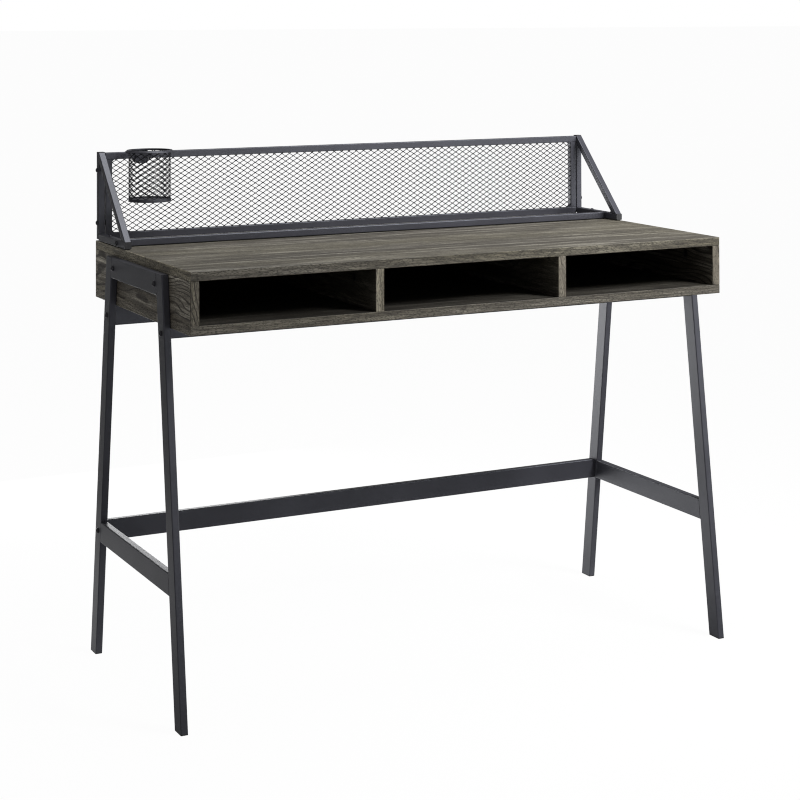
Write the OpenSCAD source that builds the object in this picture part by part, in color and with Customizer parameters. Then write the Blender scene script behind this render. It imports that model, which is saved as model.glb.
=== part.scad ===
// Writing desk with a hutch. A box of wood boards with three open cubbies is the desk top.
// Two splayed frames of flat steel tube carry it, joined by rails and one rear stretcher.
// A low hutch stands at the rear: two triangular brackets, a framed panel of expanded mesh
// between them, a cross rail, and a mesh pencil cup in a ring that hooks on the panel.
// Origin: on the floor, at the centre of the footprint. +X is the sitter's right hand,
// -Y is the front and +Z is up.

/* [Desk] */
// Width of the desk top
desk_w = 1067; // [950:1:1300]
// Depth of the desk top
desk_d = 508; // [490:1:560]
// Height of the desk's top surface above the floor
desk_h = 762; // [700:1:800]
// Height of the cubby box, from its underside to the top surface
box_h = 106; // [100:1:130]
// Thickness of the wood boards
board_t = 16; // [15:0.5:18]
// Distance of each divider's middle from the desk's middle
divider_x = 184.5; // [140:0.5:220]
// Thickness of the back panel
back_t = 12; // [8:1:16]
// How far the back panel sits in from the rear edges
back_inset = 2; // [0:0.5:6]
// Size of the small bevel along a board's edges
board_bevel = 0.8; // [0.4:0.1:1.5]

/* [Leg frames] */
// Width of a leg tube, seen from the side of the desk
leg_w = 31; // [26:1:36]
// Thickness of the leg tubes and of the rails between them
leg_t = 13; // [12:0.5:16]
// Distance from the middle of the desk to a leg's outer edge, at the top of the leg
leg_top_y = 150; // [145:1:165]
// The same distance at the floor
leg_foot_y = 244; // [225:1:250]
// Height of the side rails, the rear rail and the stretchers
rail_h = 38; // [34:1:42]
// Height of the front rail under the box
front_rail_h = 19; // [18:1:24]
// Height of the stretchers' underside above the floor
stretcher_z = 213; // [180:1:260]
// Wall of every steel tube in the leg frames
tube_wall = 1.5; // [1.2:0.1:2]
// Outer corner radius of the leg frame tubes
tube_r = 2; // [1.8:0.1:3]
// Thickness of the glide under each leg
glide_t = 2; // [1.5:0.5:4]

/* [Hutch] */
// Side of the square tube of the brackets
hutch_tube = 12.7; // [12:0.1:14]
// Height of the brackets above the desk top
hutch_h = 167; // [150:1:220]
// Depth of the brackets, from the front of the foot to the back of the upright
hutch_d = 167; // [150:1:190]
// Gap between the hutch and the rear edge of the desk
hutch_inset = 5; // [3:0.5:12]
// Thickness of the pads under the hutch's foot rails
pad_t = 1.3; // [1:0.1:2.5]
// Gap between the uprights' lower ends and the desk top
upright_gap = 3.5; // [2:0.5:6]
// Distance from the front of the foot rails to the cross rail
cross_rail_setback = 42; // [30:1:60]
// Side of the square tube of the panel frame
panel_tube = 12.7; // [10:0.1:12.7]
// Gap between the panel frame and each upright
panel_gap = 1.5; // [1:0.1:2]
// Gap between the panel's lower rail and the desk top
panel_lift = 2; // [2:0.1:10]
// How far the panel's top sits below the top of the brackets
panel_drop = 1.5; // [0:0.5:5]
// Thickness of the mesh sheet
mesh_t = 1.5; // [1:0.1:2]
// Radius of the fillers in the corners of the panel frame
filler_r = 7; // [4:0.5:12]
// Width of one diamond of the mesh
mesh_pitch_x = 32.4; // [28:0.1:50]
// Height of one diamond of the mesh
mesh_pitch_z = 20; // [16:0.1:30]
// Width of the mesh's strands
mesh_strand = 2.4; // [1.5:0.1:3]

/* [Pencil cup] */
// Radius of the cup's wall, outside
cup_r = 39.3; // [36:0.1:42]
// Thickness of the cup's wall
cup_wall_t = 1; // [0.8:0.1:1.5]
// Height of the cup, from its underside to the top of the rim
cup_h = 96; // [85:1:110]
// Height of the solid band round the cup's foot
cup_band_h = 5.5; // [4:0.5:14]
// Outer radius of the hanger ring that holds the cup
hanger_r = 45.5; // [45:0.1:48]
// Width of the strap that hooks over the panel's top rail
strap_w = 25; // [18:1:32]
// Where the cup hangs at rest, from the desk's middle
cup_x = -449; // [-450:1:450]

/* [Hidden] */

$fn = 48;
eps = 0.01;        // overlap that keeps cuts clean
wood = "#6f675c";
steel = "#3b3b40";
plastic = "#1c1c1e";
zinc = "#b9bbbd";
beech = "#d2b183";

// Box of boards
half_w = desk_w / 2;
half_d = desk_d / 2;
top_z = desk_h - board_t;               // underside of the desk top
box_z = desk_h - box_h;                 // underside of the box
floor_z = box_z + board_t;              // floor of the cubbies
cubby_h = top_z - floor_z;
back_y = half_d - back_inset - back_t;  // front face of the back panel
side_mid_x = half_w - board_t / 2;
upright_boards = [-side_mid_x, -divider_x, divider_x, side_mid_x];

// Fasteners in the box
cam_y = 165;
cam_r = 7.5;
cam_h = 12.4;
cam_drop = 24;                          // cam centre below the desk top's underside
cam_z = top_z - cam_drop;
cam_pocket_h = 12.6;
slot_half = 3.8;                        // half the cam's slot for the stud
stud_thread_r = 2.5;
stud_head_r = 3.3;
stud_bore_r = 3.6;
dowel_y = 205;
dowel_r = 4;
dowel_l = 25;
dowel_pocket = 10;                      // depth of a dowel hole in a horizontal board
dowel_end_gap = 0.5;
bottom_screw_r = 2.2;
bottom_screw_l = 44;
screw_head_r = 4.2;
screw_head_h = 2.4;
sink_gap = 0.05;                        // clearance round a countersunk head

// Leg frames
leg_top_z = top_z - 0.5;
leg_out_x = half_w + leg_t;
leg_slope = (leg_foot_y - leg_top_y) / leg_top_z;
leg_angle = atan(leg_slope);
leg_cut = leg_w / cos(leg_angle);       // a leg's width along a level cut
function leg_outer_y(z) = leg_foot_y - leg_slope * z;
function leg_mid_y(z) = leg_outer_y(z) - leg_cut / 2;
function leg_inner_y(z) = leg_outer_y(z) - leg_cut;
side_rail_z = leg_top_z - rail_h;
side_bolt_y = 112;
side_bolt_z = side_rail_z + rail_h / 2;
rear_rail_z = box_z - rail_h;
rear_bolt_z = rear_rail_z + rail_h / 2;
front_rail_z = box_z - front_rail_h;
front_bolt_z = front_rail_z + front_rail_h / 2;
stretcher_bolt_z = stretcher_z + rail_h / 2;
stretcher_y = leg_mid_y(stretcher_bolt_z);
rear_rail_y = leg_mid_y(rear_bolt_z);
front_rail_y = -leg_mid_y(front_bolt_z);
bolt_r = 3;
bolt_hole_r = 3.25;
thread_r = 3.05;
bolt_head_r = 5;
bolt_head_h = 3.3;
insert_r = 4.5;
insert_l = 13;
insert_bore_gap = 0.05;
plug_l = 20;
plug_gap = 0.1;
rail_screw_r = 2.2;
rail_screw_hole_r = 2.5;
rail_screw_bite = 11;
rail_access_r = 4.4;                    // hole under a rail that lets the screw's head in
rail_screw_xs = [-400, 0, 400];

// Hutch
hutch_x = half_w - hutch_tube / 2;      // middle plane of a bracket
hutch_in_x = half_w - hutch_tube;       // its inner face
hutch_rear_y = half_d - hutch_inset;
upright_y = hutch_rear_y - hutch_tube;  // front face of the uprights
hutch_front_y = hutch_rear_y - hutch_d;
hutch_top_z = desk_h + hutch_h;
foot_z = desk_h + pad_t;                // underside of the foot rails
foot_top_z = foot_z + hutch_tube;
hutch_wall = 1.2;
hutch_r = 1.6;
cap_t = 1.5;
brace_front_y = hutch_front_y + 2;
brace_top_z = hutch_top_z - 1;
brace_angle = atan((brace_top_z - foot_top_z) / (upright_y - brace_front_y));
brace_cut = hutch_tube / sin(brace_angle);
cross_rail_y = hutch_front_y + cross_rail_setback + hutch_tube / 2;
cross_bolt_z = foot_z + hutch_tube / 2;
small_bolt_r = 2.5;
small_hole_r = 2.75;
small_thread_r = 2.55;
small_head_r = 4.4;
small_head_h = 3;
cross_bolt_l = hutch_tube + 14;
cross_plug_l = 18;
fixing_screw_ys = [hutch_front_y + 30, hutch_rear_y - 63];
fixing_screw_r = 2;
fixing_hole_r = 2.05;
fixing_bite = 12;
pad_l = 18;
pad_inset = 4;

// Panel of the hutch
panel_x = hutch_in_x - panel_gap;       // outer face of the stiles
panel_in_x = panel_x - panel_tube;
panel_mid_y = upright_y + hutch_tube / 2;
panel_front_y = panel_mid_y - panel_tube / 2;
panel_back_y = panel_mid_y + panel_tube / 2;
panel_z = desk_h + panel_lift;
panel_top_z = hutch_top_z - panel_drop;
panel_in_z = panel_z + panel_tube;
panel_in_top_z = panel_top_z - panel_tube;
panel_r = 1.2;
filler_d = panel_tube - 2 * panel_r;
filler_step = 0.3;                      // height of a filler's end above the rail
mesh_bite = 3;                          // how far the sheet enters the frame
mesh_y = panel_front_y + 2.3;           // front face of the mesh sheet
mesh_gap = 0.1;
panel_bolt_zs = [desk_h + 34, hutch_top_z - 34];
panel_bolt_l = hutch_tube + panel_gap + 6.8;
rivet_nut_r = 3.5;
rivet_nut_l = 7;
spacer_r = 5;

// Pencil cup and its hanger
strap_t = 2;
rail_clearance = 0.5;
cup_y = panel_front_y - 1 - hanger_r;
strap_z = panel_top_z + rail_clearance;
strap_top_z = strap_z + strap_t;
strap_drop = 24;
strap_corner = 4;
ring_t = 2;
ring_z = strap_top_z;
ring_in_r = cup_r + 1.5;
cup_rim_z = ring_z + ring_t;
cup_rim_t = 1.8;
cup_rim_in_r = cup_r - cup_wall_t - 0.3;
cup_rim_out_r = cup_r + 3.6;
cup_top_z = cup_rim_z + cup_rim_t;
cup_z = cup_top_z - cup_h;
band_t = 0.9;
cup_floor_z = cup_z + 2;
cup_floor_t = 1.2;

// ---------- shared shapes ----------

// Mirrors its children to the left side when side is -1
module at_side(side) {
  if (side < 0)
    mirror([1, 0, 0]) children();
  else
    children();
}

// Rectangle with beveled corners
module beveled(size, c) {
  a = size[0] / 2;
  b = size[1] / 2;
  polygon([
    [-a + c, -b], [a - c, -b], [a, -b + c], [a, b - c],
    [a - c, b], [-a + c, b], [-a, b - c], [-a, -b + c]
  ]);
}

// Board centred on the origin, with a fine bevel on all twelve edges
module board(size, c = board_bevel) {
  intersection() {
    linear_extrude(size[2], center = true)
      beveled([size[0], size[1]], c);
    rotate([90, 0, 0])
      linear_extrude(size[1], center = true)
        beveled([size[0], size[2]], c);
    rotate([90, 0, 90])
      linear_extrude(size[0], center = true)
        beveled([size[1], size[2]], c);
  }
}

// Rectangle with rounded corners
module rounded(size, r) {
  square([size[0] - 2 * r, size[1]], center = true);
  square([size[0], size[1] - 2 * r], center = true);
  for (x = [-1, 1], y = [-1, 1])
    translate([x * (size[0] / 2 - r), y * (size[1] / 2 - r)])
      circle(r = r);
}

// Section of a rectangular tube
module tube_section(size, r, wall) {
  difference() {
    rounded(size, r);
    square([size[0] - 2 * wall, size[1] - 2 * wall], center = true);
  }
}

// Cylinder along +X, from x0
module x_bore(x0, length, r) {
  translate([x0, 0, 0])
    rotate([0, 90, 0])
      cylinder(r = r, h = length);
}

// Button-head bolt: the head's underside is at z = 0 and the shank points along -Z
module bolt(shank_r, shank_l, head_r, head_h) {
  difference() {
    rotate_extrude()
      polygon([
        [0, -shank_l], [shank_r - 0.6, -shank_l], [shank_r, -shank_l + 0.6], [shank_r, 0],
        [head_r, 0], [head_r, head_h * 0.3], [head_r * 0.86, head_h * 0.72],
        [head_r * 0.6, head_h], [0, head_h]
      ]);
    translate([0, 0, head_h * 0.4])
      cylinder(r = head_r * 0.42, h = head_h, $fn = 6);
  }
}

// Pan-head wood screw with a cross recess, in the same position as bolt()
module wood_screw(shank_r, shank_l, head_r, head_h) {
  difference() {
    rotate_extrude()
      polygon([
        [0, -shank_l], [shank_r, -shank_l + 2.5 * shank_r], [shank_r, 0],
        [head_r, 0], [head_r, head_h * 0.4], [head_r * 0.7, head_h], [0, head_h]
      ]);
    for (a = [0, 90])
      rotate([0, 0, a])
        translate([-head_r * 0.55, -0.5, head_h * 0.4])
          cube([head_r * 1.1, 1, head_h]);
  }
}

// Countersunk wood screw: the head's flat top is at z = 0 and the point is along +Z
module flat_screw(shank_r, shank_l, head_r, head_h) {
  difference() {
    rotate_extrude()
      polygon([
        [0, 0], [head_r, 0], [shank_r, head_h],
        [shank_r, shank_l - 2.5 * shank_r], [0, shank_l]
      ]);
    for (a = [0, 90])
      rotate([0, 0, a])
        translate([-head_r * 0.55, -0.5, -eps])
          cube([head_r * 1.1, 1, head_h * 0.5]);
  }
}

// ---------- box of boards ----------

module desk_top() {
  color(wood)
    difference() {
      translate([0, 0, desk_h - board_t / 2])
        board([desk_w, desk_d, board_t]);
      for (x = upright_boards, s = [-1, 1]) {
        translate([x, s * dowel_y, top_z - eps])
          cylinder(r = dowel_r, h = dowel_pocket + eps);
        translate([x, s * cam_y, top_z - eps])
          cylinder(r = stud_thread_r, h = dowel_pocket + eps);
      }
      for (x = [-hutch_x, hutch_x], y = fixing_screw_ys)
        translate([x, y, desk_h - fixing_bite - 0.5])
          cylinder(r = fixing_hole_r, h = fixing_bite + 1);
    }
}

module bottom_panel() {
  color(wood)
    difference() {
      translate([0, 0, box_z + board_t / 2])
        board([desk_w, desk_d, board_t]);
      for (x = upright_boards, s = [-1, 1]) {
        translate([x, s * dowel_y, floor_z - dowel_pocket])
          cylinder(r = dowel_r, h = dowel_pocket + eps);
        translate([x, s * cam_y, box_z]) {
          translate([0, 0, -eps])
            cylinder(r = bottom_screw_r, h = board_t + 1);
          translate([0, 0, -eps])
            cylinder(r1 = screw_head_r + sink_gap, r2 = bottom_screw_r, h = screw_head_h + eps);
        }
      }
      for (x = rail_screw_xs, y = [rear_rail_y, front_rail_y])
        translate([x, y, box_z - eps])
          cylinder(r = rail_screw_r, h = rail_screw_bite + 0.5);
    }
}

// Holes in the ends of an upright board whose middle is at x = 0. The cam pockets open
// towards face, which is 1 for +X and -1 for -X.
module upright_board_holes(face) {
  for (s = [-1, 1]) {
    translate([0, s * dowel_y, top_z - dowel_l + dowel_pocket - dowel_end_gap])
      cylinder(r = dowel_r, h = dowel_l);
    translate([0, s * dowel_y, floor_z - 1])
      cylinder(r = dowel_r, h = dowel_l - dowel_pocket + dowel_end_gap + 1);
    translate([0, s * cam_y, cam_z])
      cylinder(r = stud_bore_r, h = cam_drop + 1);
    translate([0, s * cam_y, floor_z - 1])
      cylinder(r = bottom_screw_r, h = bottom_screw_l - board_t + 1.5);
    translate([0, s * cam_y, cam_z])
      at_side(face)
        x_bore(board_t / 2 - cam_pocket_h, cam_pocket_h + 1, cam_r);
  }
}

module side_panel(side) {
  color(wood)
    at_side(side)
      difference() {
        translate([side_mid_x, 0, floor_z + cubby_h / 2])
          board([board_t, desk_d, cubby_h], board_bevel);
        translate([side_mid_x, 0, 0])
          upright_board_holes(-1);
        for (s = [-1, 1])
          translate([0, s * side_bolt_y, side_bolt_z])
            x_bore(half_w - insert_l - 0.2, insert_l + 1, insert_r + insert_bore_gap);
      }
}

module left_side_panel() side_panel(-1);
module right_side_panel() side_panel(1);

module divider(side) {
  color(wood)
    at_side(side)
      difference() {
        translate([divider_x, (back_y - half_d) / 2, floor_z + cubby_h / 2])
          board([board_t, half_d + back_y, cubby_h]);
        translate([divider_x, 0, 0])
          upright_board_holes(1);
      }
}

module left_divider() divider(-1);
module right_divider() divider(1);

module back_panel() {
  color(wood)
    translate([0, back_y + back_t / 2, floor_z + cubby_h / 2])
      board([desk_w - 2 * board_t, back_t, cubby_h]);
}

// Runs its children at every cam: the outer boards' cams face in, the dividers' face out
module at_cams() {
  for (side = [-1, 1], s = [-1, 1]) {
    at_side(side)
      translate([side_mid_x, s * cam_y, cam_z])
        mirror([1, 0, 0])
          children();
    at_side(side)
      translate([divider_x, s * cam_y, cam_z])
        children();
  }
}

module cam_locks() {
  color(plastic)
    at_cams()
      difference() {
        x_bore(board_t / 2 - cam_h - 0.1, cam_h, cam_r);
        translate([-cam_h, -slot_half, -slot_half])
          cube([cam_h + slot_half, 2 * slot_half, cam_r + 2 * slot_half]);
        for (a = [0, 90])
          translate([board_t / 2 - 1.6, 0, 0])
            rotate([a, 0, 0])
              translate([0, -3.5, -0.6])
                cube([2, 7, 1.2]);
      }
}

module cam_studs() {
  neck_r = stud_head_r - 1;
  color(zinc)
    for (x = upright_boards, s = [-1, 1])
      translate([x, s * cam_y, cam_z])
        rotate_extrude()
          polygon([
            [0, -3], [stud_head_r, -2], [stud_head_r, 1.5], [neck_r, 3.5],
            [neck_r, cam_drop - 1.5], [stud_head_r, cam_drop - 1.5], [stud_head_r, cam_drop],
            [stud_thread_r, cam_drop], [stud_thread_r, cam_drop + dowel_pocket - 2],
            [stud_thread_r - 1, cam_drop + dowel_pocket - 0.5],
            [0, cam_drop + dowel_pocket - 0.5]
          ]);
}

module dowels() {
  color(beech)
    for (x = upright_boards, s = [-1, 1]) {
      translate([x, s * dowel_y, top_z + dowel_pocket - dowel_l])
        cylinder(r = dowel_r, h = dowel_l);
      translate([x, s * dowel_y, floor_z - dowel_pocket])
        cylinder(r = dowel_r, h = dowel_l);
    }
}

module bottom_screws() {
  color(zinc)
    for (x = upright_boards, s = [-1, 1])
      translate([x, s * cam_y, box_z])
        flat_screw(bottom_screw_r, bottom_screw_l, screw_head_r, screw_head_h);
}

// ---------- leg frames ----------

// Prism between the two legs of one side, from z0 to z1, with ends that follow the legs
module between_legs(z0, z1) {
  translate([half_w - 1, 0, 0])
    rotate([90, 0, 90])
      linear_extrude(leg_t + 2)
        polygon([
          [-leg_inner_y(z0), z0], [leg_inner_y(z0), z0],
          [leg_inner_y(z1), z1], [-leg_inner_y(z1), z1]
        ]);
}

// One welded bar of the side frame: rounded tube along Y, cut to the legs' slope
module side_bar(z0) {
  mid_x = half_w + leg_t / 2;
  intersection() {
    translate([mid_x, 0, z0 + rail_h / 2])
      rotate([90, 0, 0])
        linear_extrude(2 * leg_foot_y, center = true)
          tube_section([leg_t, rail_h], tube_r, tube_wall);
    between_legs(z0 - 1, z0 + rail_h + 1);
  }
}

// A straight bar along one leg's axis, as long as needed, of the section given as a child
module along_leg(end) {
  mid_z = leg_top_z / 2;
  translate([half_w + leg_t / 2, end * leg_mid_y(mid_z), mid_z])
    rotate([end * leg_angle, 0, 0])
      linear_extrude(leg_top_z * 1.1, center = true)
        children();
}

// Slab between two heights that is wider than the whole desk
module slab(z0, z1) {
  translate([-desk_w, -desk_d, z0])
    cube([2 * desk_w, 2 * desk_d, z1 - z0]);
}

// One splayed leg. end is -1 for the front leg and 1 for the rear one.
module leg(side, end) {
  color(steel)
    at_side(side)
      difference() {
        intersection() {
          along_leg(end)
            rounded([leg_t, leg_w], tube_r);
          slab(glide_t, leg_top_z);
        }
        intersection() {
          along_leg(end)
            square([leg_t - 2 * tube_wall, leg_w - 2 * tube_wall], center = true);
          slab(0, leg_top_z - tube_wall);
        }
        bolt_z = end < 0 ? front_bolt_z : rear_bolt_z;
        translate([0, end * leg_mid_y(bolt_z), bolt_z])
          x_bore(half_w - 1, leg_t + 2, bolt_hole_r);
        if (end > 0)
          translate([0, stretcher_y, stretcher_bolt_z])
            x_bore(half_w - 1, leg_t + 2, bolt_hole_r);
      }
}

module left_front_leg() leg(-1, -1);
module left_rear_leg() leg(-1, 1);
module right_front_leg() leg(1, -1);
module right_rear_leg() leg(1, 1);

module top_rail(side) {
  color(steel)
    at_side(side)
      difference() {
        side_bar(side_rail_z);
        for (s = [-1, 1])
          translate([0, s * side_bolt_y, side_bolt_z])
            x_bore(half_w - 1, leg_t + 2, bolt_hole_r);
      }
}

module left_top_rail() top_rail(-1);
module right_top_rail() top_rail(1);

module side_stretcher(side) {
  color(steel)
    at_side(side)
      side_bar(stretcher_z);
}

module left_side_stretcher() side_stretcher(-1);
module right_side_stretcher() side_stretcher(1);

// Tube along X between the two side frames, with its underside at z0
module long_tube(y, z0, h) {
  translate([0, y, z0 + h / 2])
    rotate([90, 0, 90])
      linear_extrude(desk_w, center = true)
        tube_section([leg_t, h], tube_r, tube_wall);
}

module rear_stretcher() {
  color(steel)
    long_tube(stretcher_y, stretcher_z, rail_h);
}

// Rail under the box. Its screws stand inside the tube and go up through its upper wall.
module under_rail(y, z0, h) {
  color(steel)
    difference() {
      long_tube(y, z0, h);
      for (x = rail_screw_xs) {
        translate([x, y, z0 - 1])
          cylinder(r = rail_access_r, h = tube_wall + 2);
        translate([x, y, z0 + h - tube_wall - 1])
          cylinder(r = rail_screw_hole_r, h = tube_wall + 2);
      }
    }
}

module rear_under_rail() under_rail(rear_rail_y, rear_rail_z, rail_h);
module front_under_rail() under_rail(front_rail_y, front_rail_z, front_rail_h);

// Threaded block inside a tube's end
module end_plug(size_y, size_z) {
  difference() {
    translate([-plug_l, -size_y / 2, -size_z / 2])
      cube([plug_l, size_y, size_z]);
    x_bore(-plug_l - 1, plug_l + 2, thread_r);
  }
}

module rail_end_plugs() {
  inside = leg_t - 2 * tube_wall - 2 * plug_gap;
  shrink = 2 * tube_wall + 2 * plug_gap;
  color(zinc)
    for (side = [-1, 1])
      at_side(side) {
        translate([half_w, rear_rail_y, rear_bolt_z])
          end_plug(inside, rail_h - shrink);
        translate([half_w, front_rail_y, front_bolt_z])
          end_plug(inside, front_rail_h - shrink);
        translate([half_w, stretcher_y, stretcher_bolt_z])
          end_plug(inside, rail_h - shrink);
      }
}

module foot_glides() {
  plug_top = glide_t + 14;
  color(plastic)
    for (side = [-1, 1], end = [-1, 1])
      at_side(side) {
        intersection() {
          along_leg(end)
            rounded([leg_t, leg_w], tube_r);
          slab(0, glide_t);
        }
        intersection() {
          along_leg(end)
            square([
              leg_t - 2 * tube_wall - 2 * plug_gap,
              leg_w - 2 * tube_wall - 2 * plug_gap
            ], center = true);
          slab(glide_t - 0.5, plug_top);
        }
      }
}

// Bolt whose head lies on the outer face of a side frame
module frame_bolt(y, z, shank_l) {
  translate([leg_out_x, y, z])
    rotate([0, 90, 0])
      bolt(bolt_r, shank_l, bolt_head_r, bolt_head_h);
}

module top_rail_bolts() {
  color(plastic)
    for (side = [-1, 1], s = [-1, 1])
      at_side(side)
        frame_bolt(s * side_bolt_y, side_bolt_z, leg_t + insert_l - 1);
}

module under_rail_bolts() {
  color(plastic)
    for (side = [-1, 1])
      at_side(side) {
        frame_bolt(rear_rail_y, rear_bolt_z, leg_t + plug_l - 1);
        frame_bolt(front_rail_y, front_bolt_z, leg_t + plug_l - 1);
      }
}

module stretcher_bolts() {
  color(plastic)
    for (side = [-1, 1])
      at_side(side)
        frame_bolt(stretcher_y, stretcher_bolt_z, leg_t + plug_l - 1);
}

module threaded_inserts() {
  color(zinc)
    for (side = [-1, 1], s = [-1, 1])
      at_side(side)
        translate([0, s * side_bolt_y, side_bolt_z])
          difference() {
            x_bore(half_w - insert_l, insert_l, insert_r);
            x_bore(half_w - insert_l - 1, insert_l + 2, thread_r);
          }
}

// Screws inside a rail whose upper face is at z_top, up into the bottom panel
module rail_screw_row(y, z_top) {
  for (x = rail_screw_xs)
    translate([x, y, z_top - tube_wall])
      mirror([0, 0, 1])
        wood_screw(rail_screw_r, tube_wall + rail_screw_bite, screw_head_r, screw_head_h);
}

module rail_screws() {
  color(zinc) {
    rail_screw_row(rear_rail_y, rear_rail_z + rail_h);
    rail_screw_row(front_rail_y, front_rail_z + front_rail_h);
  }
}

// ---------- hutch brackets ----------

module hutch_upright(side) {
  z0 = desk_h + upright_gap;
  color(steel)
    at_side(side)
      difference() {
        translate([hutch_x, upright_y + hutch_tube / 2, z0])
          linear_extrude(hutch_top_z - cap_t - z0)
            tube_section([hutch_tube, hutch_tube], hutch_r, hutch_wall);
        for (z = panel_bolt_zs)
          translate([0, panel_mid_y, z])
            x_bore(hutch_in_x - 1, hutch_tube + 2, small_hole_r);
      }
}

module hutch_left_upright() hutch_upright(-1);
module hutch_right_upright() hutch_upright(1);

// Diagonal from the front of the foot rail to the top of the upright
module hutch_brace(side) {
  color(steel)
    at_side(side)
      intersection() {
        translate([hutch_x, brace_front_y, foot_top_z])
          rotate([brace_angle - 90, 0, 0])
            translate([0, hutch_tube / 2, 0])
              linear_extrude(4 * hutch_h, center = true)
                tube_section([hutch_tube, hutch_tube], hutch_r, hutch_wall);
        translate([hutch_in_x - 1, brace_front_y - hutch_tube, foot_top_z])
          cube([
            hutch_tube + 2,
            upright_y - brace_front_y + hutch_tube,
            hutch_top_z - foot_top_z
          ]);
      }
}

module hutch_left_brace() hutch_brace(-1);
module hutch_right_brace() hutch_brace(1);

module hutch_foot_rail(side) {
  y0 = hutch_front_y + cap_t;
  color(steel)
    at_side(side)
      difference() {
        translate([hutch_x, upright_y, foot_z + hutch_tube / 2])
          rotate([90, 0, 0])
            linear_extrude(upright_y - y0)
              tube_section([hutch_tube, hutch_tube], hutch_r, hutch_wall);
        translate([0, cross_rail_y, cross_bolt_z])
          x_bore(hutch_in_x - 1, hutch_tube + 2, small_hole_r);
        for (y = fixing_screw_ys)
          translate([hutch_x, y, foot_z - 1])
            cylinder(r = fixing_screw_r + 0.3, h = hutch_tube + 2);
      }
}

module hutch_left_foot_rail() hutch_foot_rail(-1);
module hutch_right_foot_rail() hutch_foot_rail(1);

module hutch_cross_rail() {
  color(steel)
    translate([0, cross_rail_y, foot_z + hutch_tube / 2])
      rotate([90, 0, 90])
        linear_extrude(2 * hutch_in_x, center = true)
          tube_section([hutch_tube, hutch_tube], hutch_r, hutch_wall);
}

module hutch_cross_rail_plugs() {
  inside = hutch_tube - 2 * hutch_wall - 2 * plug_gap;
  color(zinc)
    for (side = [-1, 1])
      at_side(side)
        translate([hutch_in_x, cross_rail_y, cross_bolt_z])
          difference() {
            translate([-cross_plug_l, -inside / 2, -inside / 2])
              cube([cross_plug_l, inside, inside]);
            x_bore(-cross_plug_l - 1, cross_plug_l + 2, small_thread_r);
          }
}

module hutch_cross_rail_bolts() {
  color(plastic)
    for (side = [-1, 1])
      at_side(side)
        translate([half_w, cross_rail_y, cross_bolt_z])
          rotate([0, 90, 0])
            bolt(small_bolt_r, cross_bolt_l, small_head_r, small_head_h);
}

// Plastic cap for a square tube's end: the plate is above z = 0 and the plug below it
module tube_cap() {
  inside = hutch_tube - 2 * hutch_wall - 2 * plug_gap;
  linear_extrude(cap_t)
    rounded([hutch_tube, hutch_tube], hutch_r);
  translate([-inside / 2, -inside / 2, -6])
    cube([inside, inside, 6 + eps]);
}

module hutch_end_caps() {
  color(plastic)
    for (side = [-1, 1])
      at_side(side) {
        translate([hutch_x, upright_y + hutch_tube / 2, hutch_top_z - cap_t])
          tube_cap();
        translate([hutch_x, hutch_front_y + cap_t, foot_z + hutch_tube / 2])
          rotate([90, 0, 0])
            tube_cap();
      }
}

module hutch_foot_pads() {
  pad_w = hutch_tube - 2;
  color(plastic)
    for (side = [-1, 1], y = [hutch_front_y + pad_inset, upright_y - pad_inset - pad_l])
      at_side(side)
        translate([hutch_x - pad_w / 2, y, desk_h])
          cube([pad_w, pad_l, pad_t]);
}

module hutch_fixing_screws() {
  color(plastic)
    for (x = [-hutch_x, hutch_x], y = fixing_screw_ys)
      translate([x, y, foot_top_z])
        wood_screw(fixing_screw_r, hutch_tube + pad_t + fixing_bite, small_head_r - 1, 2.2);
}

// ---------- hutch panel ----------

// Hollow-faced filler between a rail's face at height z and a stile. up is 1 above that face, -1 below.
module corner_filler(side, z, up) {
  at_side(side)
    translate([panel_in_x, panel_mid_y + filler_d / 2, z])
      rotate([90, 0, 0])
        linear_extrude(filler_d)
          difference() {
            translate([-filler_r, up > 0 ? -hutch_wall / 2 : -filler_r])
              square([filler_r, filler_r + hutch_wall / 2]);
            translate([-filler_r, up * (filler_r + filler_step)])
              circle(r = filler_r, $fn = 64);
          }
}

// Rail of the panel frame along X. groove is 1 for a groove in its upper face, -1 below.
module panel_rail(z0, groove) {
  face_z = groove > 0 ? z0 + panel_tube : z0;
  groove_depth = mesh_bite + mesh_gap;
  color(steel)
    difference() {
      union() {
        translate([0, panel_mid_y, z0 + panel_tube / 2])
          rotate([90, 0, 90])
            linear_extrude(2 * panel_x, center = true)
              tube_section([panel_tube, panel_tube], panel_r, hutch_wall);
        for (side = [-1, 1])
          corner_filler(side, face_z, groove);
      }
      translate([
        -panel_in_x - groove_depth,
        mesh_y - mesh_gap,
        groove > 0 ? face_z - groove_depth : face_z - filler_r - 1
      ])
        cube([
          2 * (panel_in_x + groove_depth),
          mesh_t + 2 * mesh_gap,
          groove_depth + filler_r + 1
        ]);
    }
}

module hutch_panel_top_rail() panel_rail(panel_in_top_z, -1);
module hutch_panel_bottom_rail() panel_rail(panel_z, 1);

module panel_stile(side) {
  color(steel)
    at_side(side)
      difference() {
        translate([panel_x - panel_tube / 2, panel_mid_y, panel_in_z])
          linear_extrude(panel_in_top_z - panel_in_z)
            tube_section([panel_tube, panel_tube], panel_r, hutch_wall);
        translate([panel_in_x - 1, mesh_y - mesh_gap, panel_in_z - 1])
          cube([
            mesh_bite + mesh_gap + 1,
            mesh_t + 2 * mesh_gap,
            panel_in_top_z - panel_in_z + 2
          ]);
        for (z = panel_bolt_zs)
          translate([0, panel_mid_y, z])
            x_bore(panel_x - rivet_nut_l - 0.2, rivet_nut_l + 1, rivet_nut_r + 0.05);
      }
}

module hutch_panel_left_stile() panel_stile(-1);
module hutch_panel_right_stile() panel_stile(1);

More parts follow.
